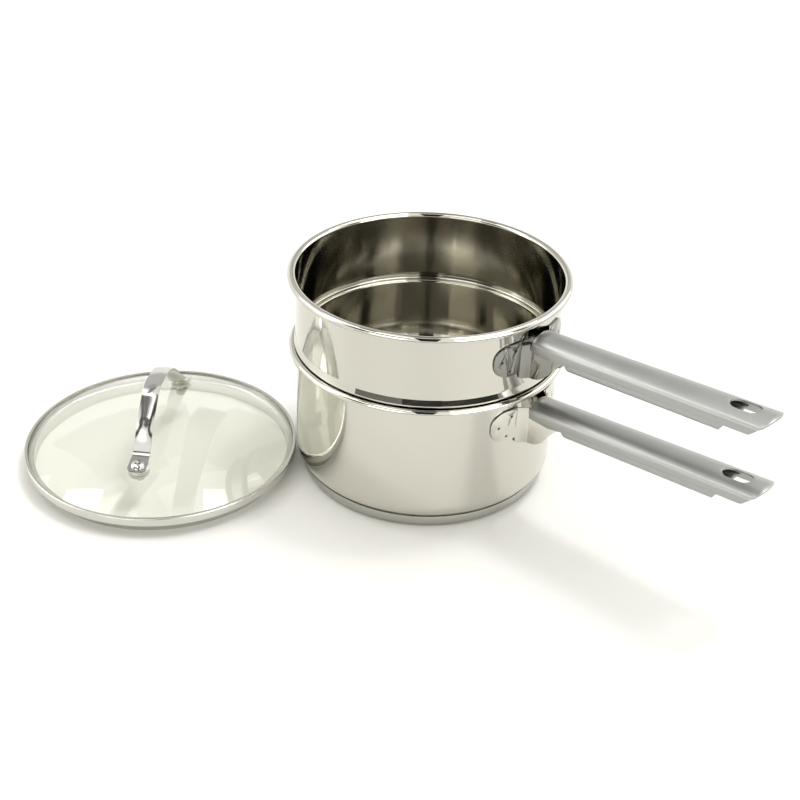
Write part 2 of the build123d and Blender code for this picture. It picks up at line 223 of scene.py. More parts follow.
def cut(mesh: BMesh, place: Sequence[float], outward: Sequence[float]) -> None:
    """Cuts away what lies beyond a plane."""
    bmesh.ops.bisect_plane(mesh, geom=mesh.verts[:] + mesh.edges[:] + mesh.faces[:], dist=MERGE, plane_co=place,
                           plane_no=outward, clear_outer=True)


def round_cut(mesh: BMesh, corner: Point, first: Vector, last: Vector, radius: float) -> None:
    """Rounds the corner between two plane cuts by tangent cuts.

    Args:
        mesh: The mesh, already cut by both planes.
        corner: A point on the edge where the planes meet.
        first: The outward normal of one plane.
        last: The outward normal of the other.
        radius: The radius of the rounding.
    """
    centre = Vector(corner) - (first + last) * (radius / (1 + first.dot(last)))
    cuts = max(2, math.ceil(first.angle(last) / (2 * ARC_STEP)))
    for index in range(1, cuts):
        outward = first.lerp(last, index / cuts).normalized()
        cut(mesh, centre + outward * radius, outward)


def carve(mesh: BMesh, tool: BMesh, carving: Carving = Carving.AWAY) -> None:
    """Cuts one closed mesh from another, keeps what they share or joins them, and drops the tool.

    Args:
        mesh: The mesh that is kept.
        tool: The mesh that shapes it.
        carving: What is left.
    """
    objects = []
    for name, source in (("work", mesh), ("tool", tool)):
        data = bpy.data.meshes.new(name)
        source.to_mesh(data)
        objects.append(bpy.data.objects.new(name, data))
        bpy.context.scene.collection.objects.link(objects[-1])
    work, shaper = objects
    modifier = work.modifiers.new("carve", "BOOLEAN")
    modifier.object = shaper
    modifier.operation = carving.value
    modifier.solver = "EXACT"
    bpy.context.view_layer.update()
    result = work.evaluated_get(bpy.context.evaluated_depsgraph_get()).to_mesh()
    mesh.clear()
    mesh.from_mesh(result)
    tool.free()
    for item in objects:
        data = item.data
        bpy.data.objects.remove(item)
        bpy.data.meshes.remove(data)
    bmesh.ops.remove_doubles(mesh, verts=mesh.verts[:], dist=MERGE)


def move(mesh: BMesh, place: Matrix) -> BMesh:
    """Moves a whole mesh and gives it back."""
    bmesh.ops.transform(mesh, matrix=place, verts=mesh.verts[:])
    return mesh


def make_object(name: str, mesh: BMesh, material: Material) -> Object:
    """Puts a mesh in the scene as an object at the origin.

    Args:
        name: The object's name.
        mesh: Its mesh, which is freed.
        material: Its one material.

    Returns:
        The object.
    """
    data = bpy.data.meshes.new(name)
    mesh.to_mesh(data)
    mesh.free()
    data.materials.append(material)
    made = bpy.data.objects.new(name, data)
    bpy.context.scene.collection.objects.link(made)
    return made


# Materials

WARM = (1.0, 0.985, 0.94)
SMUDGE_SCALE = 38.0
WAVE_SCALE = 14.0
RIPPLE_SCALE = 9.0
MOTTLE_SCALE = 600.0
SMUDGE_SHARE = 0.965
# How much colour is left in the weld marks and in the painted shade of the bracket's gap.
MARK_AND_SHADE_SHARE = 0.08
GRAIN_STRETCH = 0.012
GRAIN_TURN = 0.25
BUMP_REACH = 0.4 * MM
# How soft the edge of the painted shade in the bracket's gap is.
PAINTED_SHADE_BLUR = 0.2 * MM


class Nodes:
    """Builds a node material step by step."""

    def __init__(self, name: str) -> None:
        """Makes an empty node material with its output.

        Args:
            name: The material's name.
        """
        self.material = bpy.data.materials.new(name)
        self.material.use_nodes = True
        self.tree = self.material.node_tree
        self.tree.nodes.clear()
        self.output = self.add("ShaderNodeOutputMaterial")

    def add(self, kind: str, **settings: object) -> Node:
        """Adds a node.

        Args:
            kind: The node's type.
            **settings: Its properties, and its inputs by their names with _ for a space.

        Returns:
            The node.
        """
        node = self.tree.nodes.new(kind)
        for key, value in settings.items():
            if hasattr(node, key):
                setattr(node, key, value)
            else:
                node.inputs[key.replace("_", " ")].default_value = value
        return node

    def link(self, source: Node, output: str | int, target: Node, socket: str | int) -> None:
        """Joins an output to an input."""
        self.tree.links.new(source.outputs[output], target.inputs[socket])

    def math(self, operation: str, *inputs: object, kind: str = "ShaderNodeMath") -> Node:
        """Adds a Math node whose inputs are values or (node, output) pairs.

        Args:
            operation: The node's operation.
            *inputs: Up to three values or pairs.
            kind: The node's type.

        Returns:
            The node.
        """
        node = self.add(kind, operation=operation)
        for index, value in enumerate(inputs):
            if isinstance(value, tuple) and isinstance(value[0], Node):
                self.link(*value, node, index)
            else:
                node.inputs[index].default_value = value
        return node

    def vector(self, operation: str, *inputs: object) -> Node:
        """Adds a Vector Math node whose inputs are vectors or (node, output) pairs."""
        return self.math(operation, *inputs, kind="ShaderNodeVectorMath")

    def reach(self, where: Link) -> Link:
        """Adds the distance of a place from the Z axis."""
        return self.vector("LENGTH", (self.vector("MULTIPLY", where, (1, 1, 0)), 0)), "Value"

    def ramp(self, source: Link, low: float, high: float, out_low: float,
             out_high: float) -> Node:
        """Adds a Map Range node.

        Args:
            source: The node and output that feed it.
            low: The lowest value in.
            high: The highest value in.
            out_low: What the lowest becomes.
            out_high: What the highest becomes.

        Returns:
            The node.
        """
        node = self.add("ShaderNodeMapRange", From_Min=low, From_Max=high, To_Min=out_low, To_Max=out_high)
        self.link(*source, node, "Value")
        return node

    def mix(self, mask: Node, low: Colour, high: Colour) -> Node:
        """Adds a colour that a mask's first output blends.

        Args:
            mask: The node of the mask.
            low: The colour where the mask is 0.
            high: The colour where it is 1.

        Returns:
            The node.
        """
        node = self.add("ShaderNodeMixRGB", Color1=(*low, 1), Color2=(*high, 1))
        self.link(mask, 0, node, 0)
        return node

    def noise(self, where: Link, scale: float, detail: float, roughness: float = 0.5) -> Node:
        """Adds a noise.

        Args:
            where: The node and output that give the place.
            scale: How many swells there are to the metre.
            detail: How many finer layers it has.
            roughness: How strong they are.

        Returns:
            The node.
        """
        node = self.add("ShaderNodeTexNoise", Scale=scale, Detail=detail, Roughness=roughness)
        self.link(*where, node, "Vector")
        return node

    def bump(self, height: Node, strength: float, shader: Node) -> None:
        """Adds a Bump node between a height and a shader.

        Args:
            height: The node of the height.
            strength: The bump's strength.
            shader: The shader.
        """
        node = self.add("ShaderNodeBump", Strength=strength, Distance=BUMP_REACH)
        self.link(height, 0, node, "Height")
        self.link(node, 0, shader, "Normal")


@dataclass(frozen=True)
class SteelFinish:
    """Stainless steel with its polish.

    The grain is drawn about or along an axis that stands at a place and is turned about Z.
    """

    name: str
    colour: Colour
    roughness: float
    spread: float = 0.03
    grain: Grain = Grain.NONE
    grain_depth: float = 0.02
    grain_scale: float = 900.0
    place: Point = (0.0, 0.0, 0.0)
    turn: float = 0.0
    tilt: float = 0.0
    wave: float = 0.0
    smear: float = 0.0
    # Inside the bore radius the steel's colour is darkened as painted shade, and its roughness is changed.
    bore: float = 0.0
    bore_painted_shade: float = 1.0
    bore_roughness: float = 0.0
    marks: tuple[Point, ...] = ()
    mark_radius: float = 1.0 * MM
    # Within this radius the bracket's colour is darkened as painted shade of the gap under its edge.
    painted_crevice_shade_radius: float = 0.0

    def build(self) -> Material:
        """Makes the material.

        Returns:
            Metal whose roughness and bump follow smudges, polishing lines and the sheet's slight waves.
        """
        nodes = Nodes(self.name)
        shader = nodes.add("ShaderNodeBsdfPrincipled", Metallic=1.0, Anisotropic=self.smear,
                           Anisotropic_Rotation=GRAIN_TURN)
        nodes.link(shader, 0, nodes.output, "Surface")
        where = nodes.add("ShaderNodeTexCoord")
        mapping = nodes.add("ShaderNodeMapping", vector_type="TEXTURE", Location=self.place,
                            Rotation=(0, self.tilt, self.turn))
        nodes.link(where, "Object", mapping, "Vector")
        smudge = nodes.noise((mapping, 0), SMUDGE_SCALE, 4.0, 0.55)
        tone = nodes.mix(smudge, tuple(value * SMUDGE_SHARE for value in self.colour), self.colour)
        rough = nodes.ramp((smudge, 0), 0.3, 0.7, self.roughness - self.spread / 2, self.roughness + self.spread / 2)
        # Painted shade: the faces that look into the bore get a darker colour.
        if self.bore > 0:
            inside = self._inside(nodes, where)
            tone = self._shade(nodes, tone, inside, self.bore_painted_shade)
            more = self.bore_roughness - self.roughness
            rough = nodes.math("MULTIPLY_ADD", (inside, 0), more, (rough, 0))
        # The weld marks, and painted shade in the gap under the bracket's edge, darken the colour.
        if self.marks:
            tone = self._shade(nodes, tone, self._weld_marks_and_painted_shade(nodes, mapping), MARK_AND_SHADE_SHARE)
        nodes.link(tone, 0, shader, "Base Color")
        lines = self._lines(nodes, mapping)
        if lines is not None:
            rough = nodes.math("MULTIPLY_ADD", (lines, 0), self.spread, (rough, 0))
        nodes.link(rough, 0, shader, "Roughness")
        height = self._height(nodes, mapping, lines)
        if height is not None:
            nodes.bump(height, 1.0, shader)
        return nodes.material

    def _shade(self, nodes: Nodes, tone: Node, mask: Node, share: float) -> Node:
        """Darkens and slightly warms a colour where a mask is set.

        Args:
            nodes: The material.
            tone: The colour.
            mask: The mask.
            share: How much of the colour is left.

        Returns:
            The darkened colour.
        """
        colour = nodes.add("ShaderNodeMixRGB", blend_type="MULTIPLY", Color2=(*(share * part for part in WARM), 1))
        nodes.link(mask, 0, colour, 0)
        nodes.link(tone, 0, colour, "Color1")
        return colour

    def _inside(self, nodes: Nodes, where: Node) -> Node:
        """Adds a mask of the faces that look into the bore.

        Args:
            nodes: The material.
            where: Its texture coordinates.

        Returns:
            The mask, 1 inside.
        """
        flat = nodes.vector("MULTIPLY", (where, "Object"), (1, 1, 0))
        outward = nodes.vector("DOT_PRODUCT", (flat, 0), (where, "Normal"))
        reach = nodes.reach((where, "Object"))
        normal = nodes.add("ShaderNodeSeparateXYZ")
        nodes.link(where, "Normal", normal, 0)
        upward = nodes.math("MULTIPLY", (normal, 2), reach)
        inward = nodes.math("GREATER_THAN", (nodes.math("SUBTRACT", (upward, 0), (outward, "Value")), 0), 0.0)
        return nodes.math("MULTIPLY", (inward, 0), (nodes.math("LESS_THAN", reach, self.bore), 0))

    def _weld_marks_and_painted_shade(self, nodes: Nodes, mapping: Node) -> Node:
        """Adds a mask of the weld marks and of painted shade in the narrow gap under the sheet's edge.

        Args:
            nodes: The material.
            mapping: The piece's own place.

        Returns:
            The mask, 1 in the weld marks and 0.9 in the painted shade of the gap.
        """
        gap = nodes.reach((mapping, 0))
        mask = nodes.ramp(gap, self.painted_crevice_shade_radius - PAINTED_SHADE_BLUR, self.painted_crevice_shade_radius + PAINTED_SHADE_BLUR, 0.9, 0.0)
        for mark in self.marks:
            apart = nodes.vector("DISTANCE", (mapping, 0), mark)
            spot = nodes.ramp((apart, "Value"), 0.6 * self.mark_radius, self.mark_radius, 1.0, 0.0)
            mask = nodes.math("MAXIMUM", (mask, 0), (spot, 0))
        return mask

    def _lines(self, nodes: Nodes, mapping: Node) -> Node | None:
        """Adds the polishing lines.

        Args:
            nodes: The material.
            mapping: The piece's own place.

        Returns:
            The lines, or None for a finish without them.
        """
        if self.grain is Grain.NONE:
            return None
        split = nodes.add("ShaderNodeSeparateXYZ")
        nodes.link(mapping, 0, split, 0)
        join = nodes.add("ShaderNodeCombineXYZ")
        if self.grain is Grain.TURNED:
            nodes.link(*nodes.reach((mapping, 0)), join, 0)
            nodes.link(split, 2, join, 1)
        else:
            nodes.link(nodes.math("MULTIPLY", (split, 0), GRAIN_STRETCH), 0, join, 0)
            nodes.link(split, 1, join, 1)
            nodes.link(split, 2, join, 2)
        return nodes.noise((join, 0), self.grain_scale, 3.0, 0.6)

    def _height(self, nodes: Nodes, mapping: Node, lines: Node | None) -> Node | None:
        """Adds the lines' depth and the sheet's waves together.

        Args:
            nodes: The material.
            mapping: The piece's own place.
            lines: The polishing lines.

        Returns:
            The height, or None for a flat finish.
        """
        height = None
        if lines is not None:
            height = nodes.math("MULTIPLY", (lines, 0), self.grain_depth)
        if self.wave > 0:
            swell = nodes.math("MULTIPLY", (nodes.noise((mapping, 0), WAVE_SCALE, 1.0, 0.4), 0), self.wave)
            height = swell if height is None else nodes.math("ADD", (height, 0), (swell, 0))
        return height


@dataclass(frozen=True)
class GlassFinish:
    """Clear toughened glass with a faint tint."""

    name: str = "lid_clear_glass"
    colour: Colour = (0.885, 0.892, 0.865)
    shadow: Colour = (0.94, 0.945, 0.915)
    roughness: float = 0.0
    gloss: float = 0.4

    def build(self) -> Material:
        """Makes the material.

        Returns:
            Glass that lets light through to the floor, with a slight unevenness in its surface.
        """
        nodes = Nodes(self.name)
        shader = nodes.add("ShaderNodeBsdfPrincipled", Roughness=self.roughness, IOR=1.5,
                           Specular_IOR_Level=self.gloss, Base_Color=(*self.colour, 1), Transmission_Weight=1.0)
        clear = nodes.add("ShaderNodeBsdfTransparent", Color=(*self.shadow, 1))
        mix = nodes.add("ShaderNodeMixShader")
        path = nodes.add("ShaderNodeLightPath")
        where = nodes.add("ShaderNodeTexCoord")
        nodes.bump(nodes.noise((where, "Object"), RIPPLE_SCALE, 1.0), 0.25, shader)
        soft = nodes.math("MAXIMUM", (path, "Is Shadow Ray"), (path, "Is Diffuse Ray"))
        nodes.link(soft, 0, mix, 0)
        nodes.link(shader, 0, mix, 1)
        nodes.link(clear, 0, mix, 2)
        nodes.link(mix, 0, nodes.output, "Surface")
        return nodes.material


@dataclass(frozen=True)
class RubberFinish:
    """Pale translucent silicone of the gaskets."""

    name: str = "gasket_silicone"
    colour: Colour = (0.72, 0.73, 0.68)

    def build(self) -> Material:
        """Makes the material.

        Returns:
            A soft, slightly mottled rubber.
        """
        nodes = Nodes(self.name)
        shader = nodes.add("ShaderNodeBsdfPrincipled", Subsurface_Weight=0.3, Subsurface_Scale=2 * MM)
        where = nodes.add("ShaderNodeTexCoord")
        mottle = nodes.noise((where, "Object"), MOTTLE_SCALE, 3.0)
        tone = nodes.mix(mottle, tuple(value * 0.9 for value in self.colour), self.colour)
        nodes.link(tone, 0, shader, "Base Color")
        nodes.link(nodes.ramp((mottle, 0), 0.3, 0.7, 0.4, 0.6), 0, shader, "Roughness")
        nodes.link(shader, 0, nodes.output, "Surface")
        return nodes.material


Finish = SteelFinish | GlassFinish | RubberFinish
MIRROR = (0.61, 0.597, 0.546)
# A darker copy of the polished steel for the insert's bracket: a painted dark reflection.
PAINTED_DARK_REFLECTION = (0.27, 0.265, 0.245)
SATIN = (0.4, 0.404, 0.398)


class Finishes:
    """The finishes of the whole object, each built once."""

    def __init__(self) -> None:
        """Keeps an empty store."""
        self._built: dict[str, Material] = {}

    def get(self, finish: Finish) -> Material:
        """Gives a finish's material, and builds it the first time.

        Args:
            finish: The finish.

        Returns:
            Its material.
        """
        if finish.name not in self._built:
            self._built[finish.name] = finish.build()
        return self._built[finish.name]


FINISHES = Finishes()


@dataclass
class Piece:
    """One visible piece: its mesh, finish and the body it moves with."""

    name: str
    mesh: BMesh
    finish: Finish
    body: str
    node: str
    slot: str

    def place(self) -> Object:
        """Makes the object in the scene in place of its CAD node.

        Returns:
            The finished object, at the origin.
        """
        for face in self.mesh.faces:
            face.smooth = True
        for edge in self.mesh.edges:
            edge.smooth = edge.calc_face_angle(0.0) < SHARP_ANGLE
        piece = make_object(self.name, self.mesh, FINISHES.get(self.finish))
        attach(piece, self.body)
        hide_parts(self.node)
        LOG.info("%s: %d faces on %s", self.name, len(piece.data.polygons), self.body)
        return piece


# Pans

def drawn_pan(body: Sequence[Flat], rounds: Sequence[float], lip: tuple[float, float, float], sheet: float) -> BMesh:
    """Spins a drawn sheet with its lip rolled outwards.

    Args:
        body: The inside's outline from the axis to the top of the wall.
        rounds: The radius of each of its corners.
        lip: How far the lip reaches out, the radius of its roll and the rounding of its edges.
        sheet: The wall.

    Returns:
        The pan's body.
    """
    reach, roll, edge_round = lip
    wall, top = body[-1]
    floor = body[0][1]
    mesh = spin_round(profile([*body, (wall + reach, top), (wall + reach, top - roll - sheet)],
                              [*rounds, roll, roll]))
    return soften(thicken(mesh, sheet, (0, 0, floor), (0, 0, -1)), edge_round)


@dataclass
class Saucepan:
    """The lower pan with its rolled lip and its capped base."""

    sheet: float = 0.8 * MM
    radius: float = 88.9 * MM
    corner: float = 14.0 * MM
    floor: float = 5.6 * MM
    lip_top: float = 95.6 * MM
    lip_reach: float = 5.4 * MM
    lip_roll: float = 2.6 * MM
    cap_radius: float = 84.6 * MM
    cap_sheet: float = 0.6 * MM
    cap_corner: float = 4.5 * MM
    cap_height: float = 8.6 * MM
    core_radius: float = 79.6 * MM
    core_thickness: float = 5.0 * MM
    core_round: float = 0.5 * MM
    edge_round: float = 0.2 * MM
    cap_edge_round: float = 0.15 * MM
    wall_finish: SteelFinish = SteelFinish("saucepan_polish", MIRROR, 0.04, 0.02, Grain.TURNED, 0.006, 1400.0,
                                           wave=0.05)
    cap_finish: SteelFinish = SteelFinish("cap_steel", (0.44, 0.436, 0.4), 0.2, 0.06, Grain.TURNED, 0.02, 1800.0)
    core_finish: SteelFinish = SteelFinish("core_aluminium", (0.7, 0.7, 0.7), 0.4, 0.08)

    def shell(self) -> BMesh:
        """Spins the drawn sheet with its lip rolled outwards.

        Returns:
            The pan's body.
        """
        inside, floor = self.radius - self.sheet, self.floor + self.sheet
        return drawn_pan([(0, floor), (inside, floor), (inside, self.lip_top)], [self.corner - self.sheet],
                         (self.lip_reach, self.lip_roll, self.edge_round), self.sheet)

    def cap(self) -> BMesh:
        """Spins the steel cap that is pressed over the core.

        Returns:
            The cap.
        """
        mesh = profile([(0, 0), (self.cap_radius, 0), (self.cap_radius, self.cap_height)], [self.cap_corner])
        return soften(thicken(spin_round(mesh), self.cap_sheet, (0, 0, 0), (0, 0, 1)), self.cap_edge_round)

    def core(self) -> BMesh:
        """Spins the aluminium disc between the pan and its cap.

        Returns:
            The core.
        """
        low = self.cap_sheet
        high = low + self.core_thickness
        return spin_round(profile([(0, low), (self.core_radius, low), (self.core_radius, high), (0, high)],
                                  [self.core_round] * 2))

    def build(self) -> None:
        """Places the saucepan's round pieces."""
        Piece("saucepan_wall", self.shell(), self.wall_finish, "saucepan", "saucepan_shell", "polished_steel").place()
        Piece("saucepan_base_cap", self.cap(), self.cap_finish, "saucepan", "base_cap", "base_steel").place()
        Piece("saucepan_base_core", self.core(), self.core_finish, "saucepan", "base_core", "core_aluminium").place()


@dataclass
class Insert:
    """The upper pan, stepped so that its bowl sinks into the saucepan."""

    sheet: float = 0.8 * MM
    radius: float = 89.0 * MM
    height: float = 110.0 * MM
    lip_top: float = 147.9 * MM
    lip_reach: float = 5.8 * MM
    lip_roll: float = 2.8 * MM
    bowl_radius: float = 85.8 * MM
    bowl_corner: float = 30.0 * MM
    seat: float = 95.9 * MM
    ledge_round: float = 2.2 * MM
    bead_out: float = 1.4 * MM
    bead_round: float = 0.8 * MM
    bead_height: float = 5.2 * MM
    bead_blend: float = 6.0 * MM
    edge_round: float = 0.2 * MM
    # The insert's polish with painted shade: its colour is darkened on the faces inside the bore.
    finish: SteelFinish = SteelFinish("insert_polish_and_painted_shade", (0.585, 0.573, 0.524), 0.035, 0.02, Grain.TURNED, 0.006,
                                      1400.0, wave=0.06, smear=1.0, bore=88.6 * MM, bore_painted_shade=0.66,
                                      bore_roughness=0.08)

    def shell(self) -> BMesh:
        """Spins the drawn sheet with its ledge, its flared foot and its lip.

        Returns:
            The insert's body.
        """
        inside, bowl = self.radius - self.sheet, self.bowl_radius - self.sheet
        floor = self.lip_top - self.height + self.sheet
        ledge = self.seat + self.sheet
        return drawn_pan([(0, floor), (bowl, floor), (bowl, ledge), (inside + self.bead_out, ledge),
                          (inside, ledge + self.bead_height), (inside, self.lip_top)],
                         [self.bowl_corner, self.ledge_round, self.bead_round, self.bead_blend],
                         (self.lip_reach, self.lip_roll, self.edge_round), self.sheet)

    def build(self) -> None:
        """Places the insert's shell."""
        Piece("insert_wall", self.shell(), self.finish, "insert", "insert_shell", "polished_steel").place()


# Handles

@dataclass
class Handle:
    """A long handle: its bracket, the domed trough over it and the tray that closes it from below."""

    pan: str
    wall: float
    turn: float
    stand_off: float
    height: float
    # The bracket's colour; the insert's darker colour is a painted dark reflection of the same steel.
    bracket_tone_with_painted_reflection: Colour
    tilt: float = math.radians(3.6)
    sheet: float = 1.2 * MM
    length: float = 163.0 * MM
    root_half: float = 11.2 * MM
    tip_half: float = 13.2 * MM
    crown: float = 9.8 * MM
    shoulder: float = 4.4 * MM
    shoulder_round: float = 3.8 * MM
    crown_round: float = 15.5 * MM
    tip_slant: float = 11.0 * MM
    tip_round: float = 4.0 * MM
    root_gap: float = 1.0 * MM
    root_drop: float = 2.1 * MM
    root_drop_place: float = 16.0 * MM
    root_drop_end: float = 34.0 * MM
    station: float = 3.0 * MM
    slot_length: float = 19.0 * MM
    slot_width: float = 10.6 * MM
    slot_to_tip: float = 11.3 * MM
    tray_sheet: float = 1.0 * MM
    tray_gap: float = 0.1 * MM
    tray_start: float = 22.0 * MM
    tray_length: float = 116.0 * MM
    tray_depth: float = 6.0 * MM
    tray_rise: float = 2.6 * MM
    tray_round: float = 2.8 * MM
    tray_slant: float = 6.0 * MM
    bracket_sheet: float = 1.2 * MM
    bracket_gap: float = 0.05 * MM
    wing_reach: float = 34.5 * MM
    wing_start: float = 15.0 * MM
    wing_above: float = 6.8 * MM
    wing_below: float = 15.4 * MM
    wing_round: float = 10.6 * MM
    nose_clearance: float = 0.15 * MM
    nose_reach: float = 16.0 * MM
    nose_above: float = 2.8 * MM
    nose_below: float = 19.5 * MM
    nose_bend: float = 1.0 * MM
    weld_radius: float = 2.3 * MM
    weld_depth: float = 0.4 * MM
    weld_mark: float = 1.2 * MM
    weld_shares: tuple[Flat, ...] = ((0.84, -0.28), (0.66, -0.78), (0.56, 0.1))
    edge_round: float = 0.3 * MM
    thin_edge_round: float = 0.2 * MM
    roughness: float = 0.34
    bracket_face: float = field(init=False)

    def __post_init__(self) -> None:
        """Works out how far the bracket's outer face lies from the pan's axis."""
        self.bracket_face = self.wall + self.bracket_gap + self.bracket_sheet

    def half_width(self, along: float) -> float:
        """Gives half the handle's outside width at a distance from its root."""
        return self.root_half + (self.tip_half - self.root_half) * along / self.length

    def drop(self, along: float) -> float:
        """Gives how far the lower edges hang below their line.

        Args:
            along: A distance from the root.

        Returns:
            The drop there.
        """
        if along < self.root_drop_place:
            return self.root_drop * (along - self.root_gap) / (self.root_drop_place - self.root_gap)
        share = (self.root_drop_end - along) / (self.root_drop_end - self.root_drop_place)
        return self.root_drop * max(0.0, share)

    def set_on(self, mesh: BMesh) -> BMesh:
        """Moves a mesh drawn along +X from the handle's root to its place on the pan."""
        root = Matrix.Translation((self.wall + self.stand_off, 0, self.height))
        return move(mesh, Matrix.Rotation(self.turn, 4, "Z") @ root @ Matrix.Rotation(-self.tilt, 4, "Y"))

    def sweep(self, mesh: BMesh, along: float, stop: float, step: float, inset: float, hangs: bool) -> None:
        """Sweeps a section along the handle, which widens towards its tip.

        Args:
            mesh: The section.
            along: Where it starts.
            stop: Where the sweep may end.
            step: The distance between stations.
            inset: How far the section lies within the handle's outside.
            hangs: Whether its lower edges drop near the root.
        """
        chain = mesh.edges[:]
        while along < stop:
            chain, verts = extrude_on(mesh, chain)
            taper = (self.half_width(along + step) - inset) / (self.half_width(along) - inset)
            along += step
            bmesh.ops.scale(mesh, vec=(1, taper, 1), verts=verts)
            bmesh.ops.translate(mesh, vec=(step, 0, 0), verts=verts)
            if hangs:
                for vert in sorted(verts, key=lambda vert: vert.co.z)[:2]:
                    vert.co.z = -self.drop(along)

    def trough(self) -> BMesh:
        """Draws the domed trough, cuts its oblique tip and cuts its hang slot.

        Returns:
            The trough, on its pan.
        """
        start = self.root_gap
        side = self.half_width(start)
        shoulder = self.crown - self.shoulder
        mesh = wire([(start, -side, 0), (start, -side, shoulder), (start, 0, shoulder + 2 * self.shoulder),
                     (start, side, shoulder), (start, side, 0)],
                    [self.shoulder_round, self.crown_round, self.shoulder_round])
        self.sweep(mesh, start, self.length + OVERRUN, self.station, 0.0, True)
        beyond = Vector((self.crown, 0, -self.tip_slant)).normalized()
        corner = (self.length - self.tip_slant, 0, 0)
        cut(mesh, corner, beyond)
        round_cut(mesh, corner, DOWN, beyond, self.tip_round)
        thicken(mesh, self.sheet, (self.length / 2, 0, self.crown), (0, 0, -1))
        middle = self.length - self.slot_to_tip - self.slot_length / 2
        end, wide = self.slot_length / 2, self.slot_width / 2
        slot = prism([(middle - end, -wide, 0), (middle + end, -wide, 0), (middle + end, wide, 0),
                      (middle - end, wide, 0)], [wide - MERGE * 2] * 4, (0, 0, self.crown + OVERRUN))
        carve(mesh, slot)
        return self.set_on(soften(mesh, self.edge_round))

    def tray(self) -> BMesh:
        """Draws the narrower trough that closes the handle from below.

        Returns:
            The tray, on its pan.
        """
        start, stop = self.tray_start, self.tray_start + self.tray_length
        inset = self.sheet + self.tray_gap
        side = self.half_width(start) - inset
        mesh = wire([(start, -side, self.tray_rise), (start, -side, -self.tray_depth), (start, side, -self.tray_depth),
                     (start, side, self.tray_rise)], [self.tray_round] * 2)
        step = self.tray_length / round(self.tray_length / self.station)
        self.sweep(mesh, start, stop - MERGE, step, inset, False)
        tall = self.tray_depth + self.tray_rise
        for way, end in ((-1, start), (1, stop)):
            beyond = Vector((way * tall, 0, -self.tray_slant)).normalized()
            corner = (end - way * self.tray_slant, 0, -self.tray_depth)
            cut(mesh, corner, beyond)
            round_cut(mesh, corner, DOWN, beyond, self.tray_round)
        thicken(mesh, self.tray_sheet, (self.length / 2, 0, -self.tray_depth), (0, 0, 1))
        return self.set_on(soften(mesh, self.thin_edge_round))

    def bracket(self) -> BMesh:
        """Bends the strip to the wall and out to the nose, trims it and dents it at its welds.

        Returns:
            The bracket, on its pan.
        """
        outer = self.bracket_face
        nose = self.root_half - self.sheet - self.nose_clearance
        root = self.wall + self.stand_off
        front = root + self.nose_reach
        far, near = math.asin(self.wing_reach / outer), math.asin(self.wing_start / outer)
        reach = outer / math.cos((far - near) / 2)
        middle = (far + near) / 2
        half = [(outer * math.cos(far), self.wing_reach), (reach * math.cos(middle), reach * math.sin(middle)),
                (outer * math.cos(near), self.wing_start), (root, nose), (front, nose)]
        rounds = [outer, self.nose_bend, self.nose_bend, self.nose_bend + self.bracket_sheet]
        low, start = self.height - self.nose_below, self.height - self.nose_below - OVERRUN
        mesh = wire([(x, -y, start) for x, y in half] + [(x, y, start) for x, y in reversed(half)],
                    rounds + rounds[::-1])
        _, verts = extrude_on(mesh, mesh.edges[:])
        tall = self.nose_below + self.wing_above + 2 * OVERRUN
        bmesh.ops.translate(mesh, vec=(0, 0, tall), verts=verts)
        thicken(mesh, self.bracket_sheet, (front, 0, start + tall / 2), (-1, 0, 0))
        top, foot = self.height + self.wing_above, self.height - self.wing_below
        waist, end = self.wing_start, self.wing_reach
        outline = [(0, -end, top), (0, end, top), (0, end, foot), (0, waist, foot), (0, waist, low), (0, -waist, low),
                   (0, -waist, foot), (0, -end, foot)]
        small = self.nose_bend
        carve(mesh, prism(outline, [self.wing_round, self.wing_round, self.wing_round, small, small, small, small,
                                    self.wing_round], (front + OVERRUN, 0, 0)), Carving.SHARED)
        brow, face = self.height + self.nose_above, front + 10 * MERGE
        wide = end + OVERRUN
        side = [(0, -wide, low - OVERRUN), (root, -wide, low - OVERRUN), (root, -wide, low), (face, -wide, low),
                (face, -wide, brow), (root, -wide, brow), (root, -wide, top + OVERRUN), (0, -wide, top + OVERRUN)]
        carve(mesh, prism(side, [0, 0, 0, self.nose_reach, 0, 0, 0, 0], (0, 2 * wide, 0)), Carving.SHARED)
        for place in self.welds(self.weld_radius - self.weld_depth):
            spot = bmesh.new()
            bmesh.ops.create_uvsphere(spot, u_segments=24, v_segments=16, radius=self.weld_radius,
                                      matrix=Matrix.Translation(place))
            carve(mesh, spot)
        return soften(move(mesh, Matrix.Rotation(self.turn, 4, "Z")), self.thin_edge_round)

    def welds(self, raised: float) -> list[Point]:
        """Gives the places of the welds.

        Args:
            raised: How far they lie out from the bracket's face.

        Returns:
            A place for each.
        """
        places = []
        for across, rise in self.weld_shares:
            for way in (-1, 1):
                angle = math.asin(way * across * self.wing_reach / self.bracket_face)
                out = self.bracket_face + raised
                places.append((out * math.cos(angle), out * math.sin(angle), self.height + rise * self.wing_below))
        return places

    def build(self) -> None:
        """Places the handle's three pieces on their pan."""
        satin, under = (SteelFinish(f"{self.pan}_{name}_satin", SATIN, self.roughness, 0.05, Grain.ALONG, depth,
                                    turn=self.turn, tilt=-self.tilt)
                        for name, depth in (("handle", 0.03), ("tray", 0.02)))
